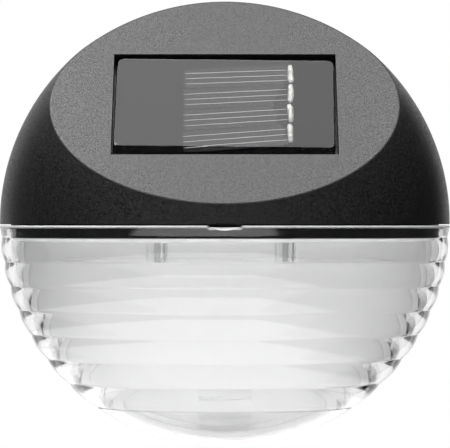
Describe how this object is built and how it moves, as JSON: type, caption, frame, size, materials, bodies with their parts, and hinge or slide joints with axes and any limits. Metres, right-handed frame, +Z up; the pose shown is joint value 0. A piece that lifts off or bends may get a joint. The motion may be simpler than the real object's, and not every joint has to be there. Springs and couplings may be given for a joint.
{
  "type": "solar fence light",
  "caption": "Round solar light for a fence: black cap with a sloping solar panel, clear ribbed lens over a white reflector, keyhole back plate with battery door and slide switch.",
  "frame": {"origin": "centre of the round back, in the plane that lies on the fence", "axes": "+Y into the fence, -Y out of the front, +Z up, +X to the right seen from the front"},
  "size_m": [0.11, 0.05, 0.1098],
  "materials": {
    "cap_black": "fine spark-eroded texture",
    "lens_clear": "clear, polished",
    "reflector_white": "satin white",
    "plate_black": "fine texture",
    "back_screw_steel": "zinc plated",
    "door_black": "fine texture",
    "door_screw_steel": "zinc plated",
    "gasket_rubber": "soft foam rubber",
    "battery_sleeve": "printed sleeve, bare of text",
    "plate_nickel": "nickel plated",
    "spring_nickel": "nickel plated",
    "board_green": "solder mask",
    "board_screw_steel": "zinc plated",
    "led_left_clear": "clear epoxy",
    "led_right_clear": "clear epoxy",
    "lead_tin": "tinned",
    "chip_black": "moulded epoxy",
    "coil_ferrite": "dark ferrite with copper winding",
    "adhesive_black": "silicone",
    "panel_board": "dark board",
    "cell_silicon": "silicon with fine silver lines",
    "tab_solder": "solder",
    "resin_clear": "clear poured resin",
    "switch_steel": "tinned shell",
    "slider_black": "moulded",
    "panel_lead_insulation": "insulation",
    "battery_lead_insulation": "insulation",
    "switch_lead_insulation": "insulation"
  },
  "bodies": {
    "housing": {"cap": "cap_black", "reflector": "reflector_white", "back_plate": "plate_black", "back_screws": "back_screw_steel", "battery": "battery_sleeve", "contact_plate": "plate_nickel", "contact_spring": "spring_nickel", "circuit_board": "board_green", "board_screws": "board_screw_steel", "led_left": "led_left_clear", "led_right": "led_right_clear", "led_leads": "lead_tin", "driver_chip": "chip_black", "inductor": "coil_ferrite", "panel_adhesive": "adhesive_black", "panel_substrate": "panel_board", "cell_strips": "cell_silicon", "cell_tabs": "tab_solder", "panel_resin": "resin_clear", "switch_body": "switch_steel", "panel_leads": "panel_lead_insulation", "battery_leads": "battery_lead_insulation", "switch_leads": "switch_lead_insulation"},
    "lens": {"lens": "lens_clear"},
    "battery_door": {"battery_door": "door_black", "door_gasket": "gasket_rubber", "door_screws": "door_screw_steel"},
    "switch_slider": {"switch_slider": "slider_black"}
  },
  "joints": [
    {"name": "lens_off", "type": "slide", "parent": "housing", "child": "lens", "axis": [0, -1, 0], "range_m": [0, 0.056]},
    {"name": "battery_door_off", "type": "slide", "parent": "housing", "child": "battery_door", "axis": [0, 1, 0], "range_m": [0, 0.012]},
    {"name": "switch_slide", "type": "slide", "parent": "housing", "child": "switch_slider", "axis": [1, 0, 0], "range_m": [0, 0.0025]}
  ]
}
